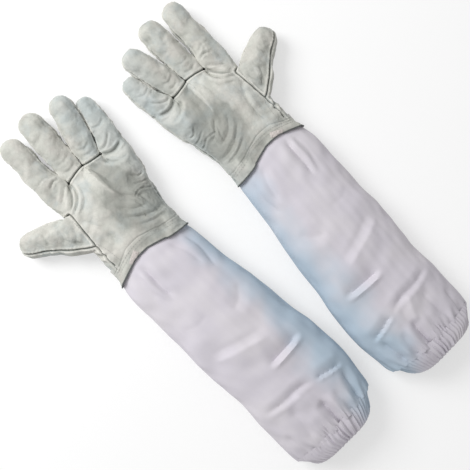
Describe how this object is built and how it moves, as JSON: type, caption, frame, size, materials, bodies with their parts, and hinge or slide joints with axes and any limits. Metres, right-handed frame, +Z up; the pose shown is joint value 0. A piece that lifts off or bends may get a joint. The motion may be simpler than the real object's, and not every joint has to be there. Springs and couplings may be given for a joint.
{
  "type": "beekeeping gloves",
  "caption": "Pair of long beekeeping gloves: soft pale leather hands with sewn-in wing thumbs, joined at the wrist to white canvas sleeves with elasticated ends, lying palm up.",
  "frame": {"origin": "under the middle of the pair's box, on the surface that the gloves lie on", "axes": "+Y from the sleeves to the fingertips, +X towards the right-hand glove, +Z up, which is the palm side"},
  "size_m": [0.3718, 0.5134, 0.053],
  "materials": {
    "leather": "soft matte grain",
    "leather_trim": "soft matte grain",
    "canvas": "smooth tight weave",
    "elastic": "woven elastic tape"
  },
  "bodies": {
    "left_sleeve": {"left_sleeve_panel": "canvas", "left_hem_casing": "canvas", "left_hem_elastic": "elastic"},
    "left_hand": {"left_palm_panel": "leather", "left_back_panel": "leather", "left_wrist_band": "leather", "left_wrist_elastic": "elastic", "left_seam_tab": "leather_trim"},
    "left_thumb": {"left_thumb_front": "leather", "left_thumb_back": "leather"},
    "left_index": {"left_index_front": "leather", "left_index_back": "leather"},
    "left_middle": {"left_middle_front": "leather", "left_middle_back": "leather"},
    "left_ring": {"left_ring_front": "leather", "left_ring_back": "leather"},
    "left_little": {"left_little_front": "leather", "left_little_back": "leather"},
    "right_sleeve": {"right_sleeve_panel": "canvas", "right_hem_casing": "canvas", "right_hem_elastic": "elastic"},
    "right_hand": {"right_palm_panel": "leather", "right_back_panel": "leather", "right_wrist_band": "leather", "right_wrist_elastic": "elastic", "right_seam_tab": "leather_trim"},
    "right_thumb": {"right_thumb_front": "leather", "right_thumb_back": "leather"},
    "right_index": {"right_index_front": "leather", "right_index_back": "leather"},
    "right_middle": {"right_middle_front": "leather", "right_middle_back": "leather"},
    "right_ring": {"right_ring_front": "leather", "right_ring_back": "leather"},
    "right_little": {"right_little_front": "leather", "right_little_back": "leather"}
  },
  "joints": [
    {"name": "left_wrist_bend", "type": "hinge", "parent": "left_sleeve", "child": "left_hand", "pos_m": [-0.08422, 0.05183, 0.043], "axis": [0.9992, 0.0401, 0], "range_deg": [0, 50]},
    {"name": "left_thumb_bend", "type": "hinge", "parent": "left_hand", "child": "left_thumb", "pos_m": [-0.12226, 0.11435, 0.0305], "axis": [0.0447, 0.999, 0], "range_deg": [0, 60]},
    {"name": "left_index_bend", "type": "hinge", "parent": "left_hand", "child": "left_index", "pos_m": [-0.11469, 0.1687, 0.031], "axis": [0.9974, 0.0718, 0], "range_deg": [0, 60]},
    {"name": "left_middle_bend", "type": "hinge", "parent": "left_hand", "child": "left_middle", "pos_m": [-0.08645, 0.16958, 0.031], "axis": [0.9998, -0.0198, 0], "range_deg": [0, 60]},
    {"name": "left_ring_bend", "type": "hinge", "parent": "left_hand", "child": "left_ring", "pos_m": [-0.06233, 0.16705, 0.031], "axis": [0.9811, -0.1934, 0], "range_deg": [0, 60]},
    {"name": "left_little_bend", "type": "hinge", "parent": "left_hand", "child": "left_little", "pos_m": [-0.03587, 0.16235, 0.031], "axis": [0.9871, -0.1598, 0], "range_deg": [0, 60]},
    {"name": "right_wrist_bend", "type": "hinge", "parent": "right_sleeve", "child": "right_hand", "pos_m": [0.08422, 0.04223, 0.043], "axis": [0.9992, -0.0401, 0], "range_deg": [0, 50]},
    {"name": "right_thumb_bend", "type": "hinge", "parent": "right_hand", "child": "right_thumb", "pos_m": [0.12226, 0.10475, 0.0305], "axis": [0.0447, -0.999, 0], "range_deg": [0, 60]},
    {"name": "right_index_bend", "type": "hinge", "parent": "right_hand", "child": "right_index", "pos_m": [0.11469, 0.1591, 0.031], "axis": [0.9974, -0.0718, 0], "range_deg": [0, 60]},
    {"name": "right_middle_bend", "type": "hinge", "parent": "right_hand", "child": "right_middle", "pos_m": [0.08645, 0.15998, 0.031], "axis": [0.9998, 0.0198, 0], "range_deg": [0, 60]},
    {"name": "right_ring_bend", "type": "hinge", "parent": "right_hand", "child": "right_ring", "pos_m": [0.06233, 0.15745, 0.031], "axis": [0.9811, 0.1934, 0], "range_deg": [0, 60]},
    {"name": "right_little_bend", "type": "hinge", "parent": "right_hand", "child": "right_little", "pos_m": [0.03587, 0.15276, 0.031], "axis": [0.9871, 0.1598, 0], "range_deg": [0, 60]},
    {"name": "right_glove_apart", "type": "slide", "parent": "left_sleeve", "child": "right_sleeve", "axis": [1, 0, 0], "range_m": [0, 0.2]}
  ]
}
